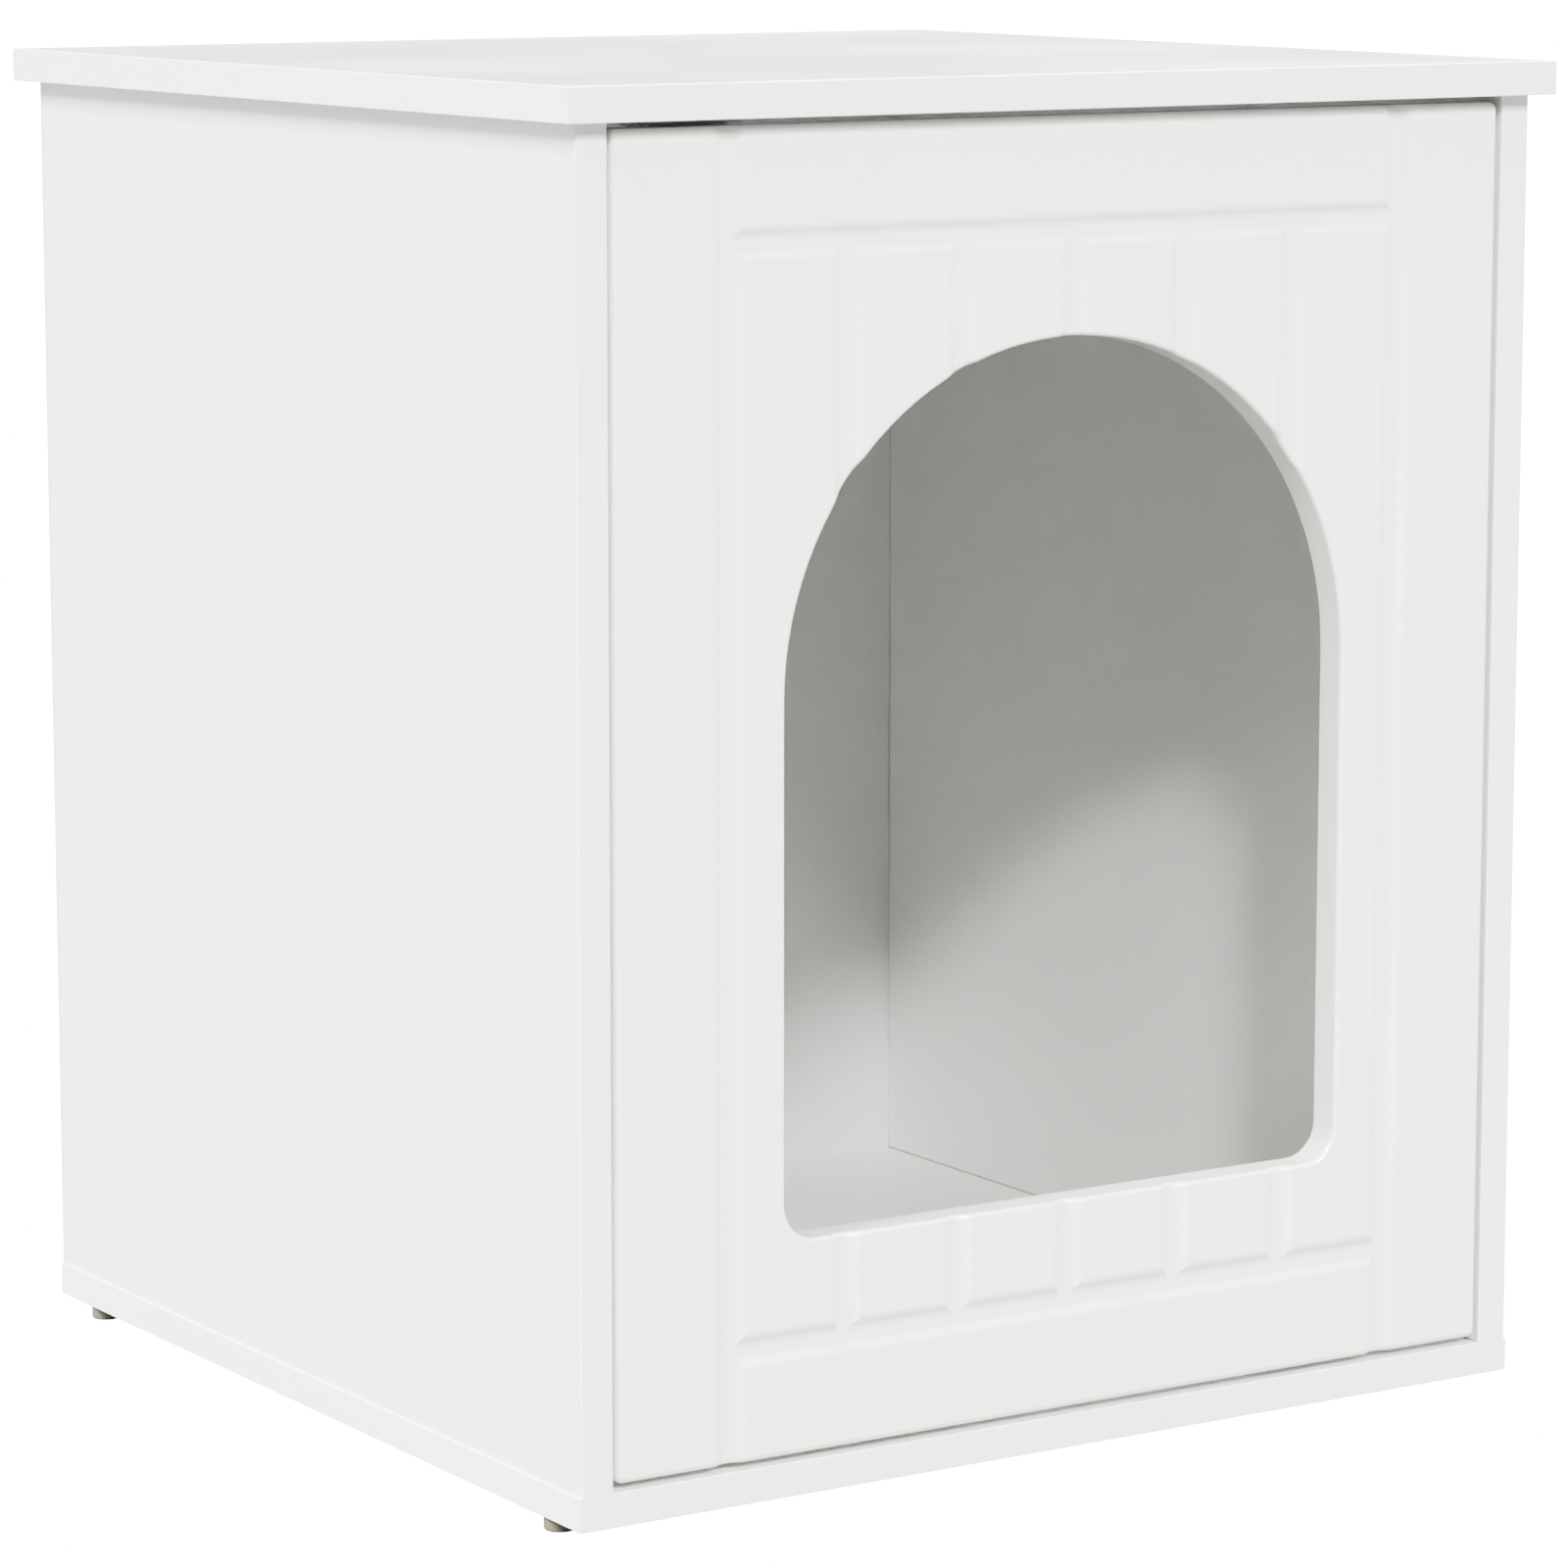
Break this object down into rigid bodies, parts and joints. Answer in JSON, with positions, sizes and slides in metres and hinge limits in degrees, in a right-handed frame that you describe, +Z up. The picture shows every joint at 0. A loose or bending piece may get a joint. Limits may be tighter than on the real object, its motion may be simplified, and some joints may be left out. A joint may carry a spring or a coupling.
{
  "type": "cat house",
  "caption": "White box-shaped cat house with an overhanging top, small glides and a grooved inset door whose arched opening lets a cat in; the door swings open.",
  "frame": {"origin": "on the floor under the middle of the top panel", "axes": "+X to the right seen from the front, -Y out of the door, +Z up"},
  "size_m": [0.51, 0.51, 0.605],
  "materials": {
    "white_board": "white melamine facing on chipboard, satin",
    "edge_band": "white edge strip, slightly cooler than the boards",
    "door_lacquer": "white film on a moulded fibreboard door, satin",
    "back_hardboard": "white coated hardboard",
    "glide_plastic": "moulded grey plastic",
    "dowel_wood": "bare beech",
    "cap_plastic": "white plastic",
    "catch_plastic": "white moulded plastic",
    "magnet_ferrite": "sintered ferrite, matt",
    "cam_zinc": "die-cast zinc",
    "hinge_nickel": "nickel-plated pressed steel",
    "fastener_steel": "zinc-plated steel",
    "plate_steel": "plain steel"
  },
  "bodies": {
    "cabinet": {"back_left_foot": "glide_plastic", "back_panel": "back_hardboard", "back_panel_nails": "fastener_steel", "back_right_foot": "glide_plastic", "bottom_back_band": "edge_band", "bottom_dowels": "dowel_wood", "bottom_front_band": "edge_band", "bottom_left_band": "edge_band", "bottom_panel": "white_board", "bottom_right_band": "edge_band", "bottom_screws": "fastener_steel", "catch_housing": "catch_plastic", "catch_magnet": "magnet_ferrite", "catch_pole_plates": "plate_steel", "catch_screws": "fastener_steel", "foot_nails": "fastener_steel", "front_left_foot": "glide_plastic", "front_right_foot": "glide_plastic", "hinge_arm_screws": "fastener_steel", "hinge_plate_screws": "fastener_steel", "left_side_band": "edge_band", "left_side_panel": "white_board", "lower_hinge_arm": "hinge_nickel", "lower_hinge_plate": "hinge_nickel", "right_side_band": "edge_band", "right_side_panel": "white_board", "top_back_band": "edge_band", "top_cam_caps": "cap_plastic", "top_cam_nuts": "cam_zinc", "top_cam_studs": "fastener_steel", "top_dowels": "dowel_wood", "top_front_band": "edge_band", "top_left_band": "edge_band", "top_panel": "white_board", "top_right_band": "edge_band", "upper_hinge_arm": "hinge_nickel", "upper_hinge_plate": "hinge_nickel"},
    "door": {"door_panel": "door_lacquer", "lower_hinge_cup": "hinge_nickel", "upper_hinge_cup": "hinge_nickel", "lower_hinge_pin": "plate_steel", "upper_hinge_pin": "plate_steel", "hinge_cup_screws": "fastener_steel", "strike_plate": "plate_steel", "strike_screws": "fastener_steel"}
  },
  "joints": [
    {"name": "door_swing", "type": "hinge", "parent": "cabinet", "child": "door", "pos_m": [0.2095, -0.236, 0.30575], "axis": [0, 0, 1], "range_deg": [0, 95]}
  ]
}
